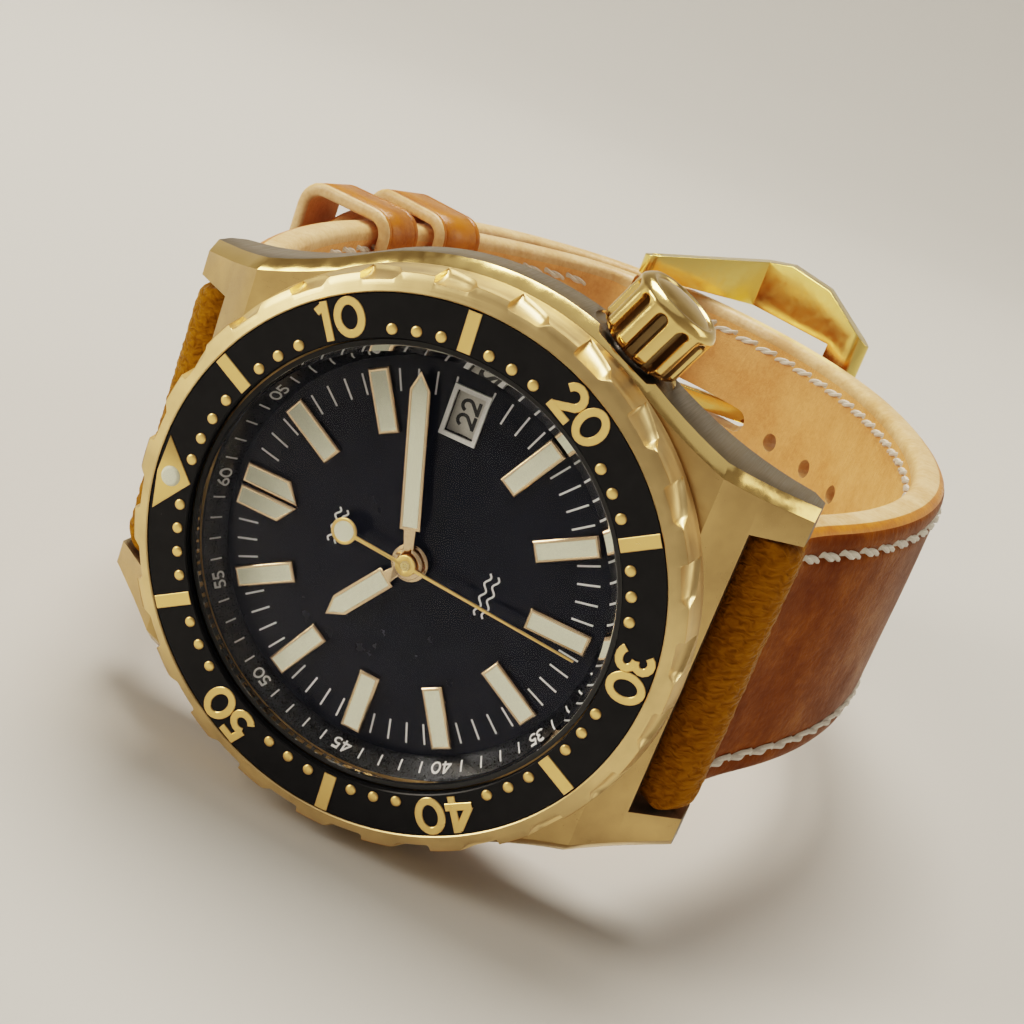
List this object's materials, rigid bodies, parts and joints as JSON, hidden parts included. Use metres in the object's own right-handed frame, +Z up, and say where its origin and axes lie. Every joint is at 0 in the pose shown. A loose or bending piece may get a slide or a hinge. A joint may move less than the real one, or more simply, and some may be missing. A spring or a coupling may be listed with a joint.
{
  "type": "dive watch",
  "caption": "Bronze dive watch with a turning notched bezel, fluted crown at 4 o'clock and a buckled cognac leather strap, standing on its side.",
  "frame": {"origin": "centre of the whole watch's box, at the height of the case's 9 o'clock flank that it stands on", "axes": "+Z up, from 9 to 3 o'clock; +X from 12 towards 6 o'clock; the dial faces -Y and the strap's loop runs back along +Y"},
  "size_m": [0.0674, 0.0926, 0.0454],
  "materials": {
    "bronze_brushed": "brushed bronze",
    "bronze_caseback": "satin bronze",
    "bronze_satin": "fine satin bronze",
    "bronze_polished": "polished bronze",
    "buckle_gold": "polished bronze",
    "insert_black": "glossy black ceramic-like insert",
    "lume": "pale luminous paint",
    "crystal_glass": "domed sapphire, anti-reflection coated",
    "gasket_rubber": "black rubber or nylon",
    "chapter_black": "satin black",
    "dial_black": "glossy blue-black lacquer",
    "gilt_frame": "polished gilt",
    "date_frame_white": "white paint",
    "date_disc_white": "matt white with dark figures",
    "steel": "plain steel",
    "movement_nickel": "nickel-plated brass, satin",
    "movement_brass": "gilt brass",
    "rotor_metal": "striped and plated heavy metal",
    "holder_plastic": "moulded plastic",
    "strap_leather": "waxed cognac leather, natural inside and edges"
  },
  "bodies": {
    "case": {"mid_case": "bronze_brushed", "caseback": "bronze_caseback", "caseback_gasket": "gasket_rubber", "crystal": "crystal_glass", "crystal_gasket": "gasket_rubber", "chapter_ring": "chapter_black", "dial": "dial_black", "date_window_frame": "date_frame_white", "hour_markers": "gilt_frame", "hour_marker_lume": "lume", "movement_holder_ring": "holder_plastic", "movement_main_plate": "movement_nickel", "barrel_bridge": "movement_nickel", "train_bridge": "movement_nickel", "balance_cock": "movement_nickel", "movement_screws": "steel", "rotor_bearing": "steel", "bezel_click_spring": "steel", "crown_tube": "steel", "lug_spring_bars": "steel", "strap_short_piece": "strap_leather", "strap_long_piece": "strap_leather", "fixed_keeper": "strap_leather"},
    "bezel": {"bezel": "bronze_satin", "bezel_insert": "insert_black", "bezel_lume_pip": "lume", "bezel_retaining_wire": "steel"},
    "seconds": {"fourth_wheel": "movement_brass", "seconds_hand": "gilt_frame", "seconds_hand_lume": "lume"},
    "minutes": {"centre_wheel": "movement_brass", "minute_hand": "gilt_frame", "minute_hand_lume": "lume"},
    "hours": {"hour_wheel": "movement_brass", "hour_hand": "gilt_frame", "hour_hand_lume": "lume"},
    "motion_work": {"minute_wheel": "movement_brass"},
    "third": {"third_wheel": "movement_brass"},
    "escape": {"escape_wheel": "steel"},
    "pallet": {"pallet_fork": "steel"},
    "balance": {"balance_wheel": "movement_brass", "hairspring": "steel"},
    "barrel": {"mainspring_barrel": "movement_brass", "mainspring": "steel"},
    "ratchet": {"ratchet_wheel": "steel"},
    "click": {"ratchet_click": "steel"},
    "date": {"date_disc": "date_disc_white"},
    "rotor": {"winding_rotor": "rotor_metal"},
    "winding_works": {"clutch_wheel": "steel", "winding_pinion": "steel"},
    "crown": {"crown": "bronze_polished", "crown_gasket": "gasket_rubber", "winding_stem": "steel"},
    "buckle": {"buckle_frame": "buckle_gold", "buckle_spring_bar": "steel"},
    "tongue": {"buckle_tongue": "buckle_gold"},
    "keeper": {"free_keeper": "strap_leather"}
  },
  "joints": [
    {"name": "bezel_turn", "type": "hinge", "parent": "case", "child": "bezel", "pos_m": [0.00245, -0.04525, 0.0211], "axis": [0, 1, 0], "continuous": true},
    {"name": "seconds_turn", "type": "hinge", "parent": "case", "child": "seconds", "pos_m": [0.00245, -0.04525, 0.0211], "axis": [0, 1, 0], "continuous": true},
    {"name": "minutes_turn", "type": "hinge", "parent": "case", "child": "minutes", "pos_m": [0.00245, -0.04525, 0.0211], "axis": [0, 1, 0], "continuous": true},
    {"name": "hours_turn", "type": "hinge", "parent": "case", "child": "hours", "pos_m": [0.00245, -0.04525, 0.0211], "axis": [0, 1, 0], "continuous": true},
    {"name": "motion_work_turn", "type": "hinge", "parent": "case", "child": "motion_work", "pos_m": [0.00114, -0.03975, 0.02337], "axis": [0, 1, 0], "continuous": true},
    {"name": "third_turn", "type": "hinge", "parent": "case", "child": "third", "pos_m": [-0.00164, -0.03725, 0.02259], "axis": [0, 1, 0], "continuous": true},
    {"name": "escape_turn", "type": "hinge", "parent": "case", "child": "escape", "pos_m": [0.00103, -0.03725, 0.0172], "axis": [0, 1, 0], "continuous": true},
    {"name": "pallet_rock", "type": "hinge", "parent": "case", "child": "pallet", "pos_m": [-0.00043, -0.03725, 0.01544], "axis": [0, 1, 0], "range_deg": [-5, 5]},
    {"name": "balance_swing", "type": "hinge", "parent": "case", "child": "balance", "pos_m": [-0.00185, -0.03675, 0.01365], "axis": [0, 1, 0], "range_deg": [-140, 140], "stiffness_Nm_per_rad": 0.00000023},
    {"name": "barrel_turn", "type": "hinge", "parent": "case", "child": "barrel", "pos_m": [0.00868, -0.03685, 0.01943], "axis": [0, 1, 0], "continuous": true},
    {"name": "ratchet_turn", "type": "hinge", "parent": "case", "child": "ratchet", "pos_m": [0.00868, -0.03555, 0.01943], "axis": [0, 1, 0], "continuous": true},
    {"name": "click_lift", "type": "hinge", "parent": "case", "child": "click", "pos_m": [0.01127, -0.03555, 0.01559], "axis": [0, -1, 0], "range_deg": [0, 4], "stiffness_Nm_per_rad": 0.00000001},
    {"name": "date_turn", "type": "hinge", "parent": "case", "child": "date", "pos_m": [0.00245, -0.04525, 0.0211], "axis": [0, 1, 0], "continuous": true},
    {"name": "rotor_turn", "type": "hinge", "parent": "case", "child": "rotor", "pos_m": [0.00245, -0.04525, 0.0211], "axis": [0, 1, 0], "continuous": true},
    {"name": "crown_turn", "type": "hinge", "parent": "case", "child": "winding_works", "pos_m": [0.00245, -0.03835, 0.0211], "axis": [0.4067, 0, 0.9135], "continuous": true},
    {"name": "crown_pull", "type": "slide", "parent": "winding_works", "child": "crown", "axis": [0.4067, 0, 0.9135], "range_m": [0, 0.003]},
    {"name": "buckle_lift", "type": "hinge", "parent": "case", "child": "buckle", "pos_m": [-0.00455, 0.03475, 0.0211], "axis": [0, 0, 1], "range_deg": [0, 6]},
    {"name": "tongue_lift", "type": "hinge", "parent": "buckle", "child": "tongue", "pos_m": [-0.00455, 0.03475, 0.0211], "axis": [0, 0, 1], "range_deg": [0, 8]},
    {"name": "keeper_slide", "type": "slide", "parent": "case", "child": "keeper", "axis": [0.1736, 0.9848, 0], "range_m": [-0.002, 0.002]}
  ],
  "couplings": [
    {"joint": "minutes_turn", "follows": "seconds_turn", "ratio": 0.016667},
    {"joint": "hours_turn", "follows": "seconds_turn", "ratio": 0.0013889},
    {"joint": "motion_work_turn", "follows": "seconds_turn", "ratio": -0.0055556},
    {"joint": "third_turn", "follows": "seconds_turn", "ratio": -0.13333},
    {"joint": "escape_turn", "follows": "seconds_turn", "ratio": -12},
    {"joint": "barrel_turn", "follows": "seconds_turn", "ratio": -0.0027778},
    {"joint": "date_turn", "follows": "seconds_turn", "ratio": -0.000022401},
    {"joint": "ratchet_turn", "follows": "crown_turn", "ratio": -0.33333}
  ]
}
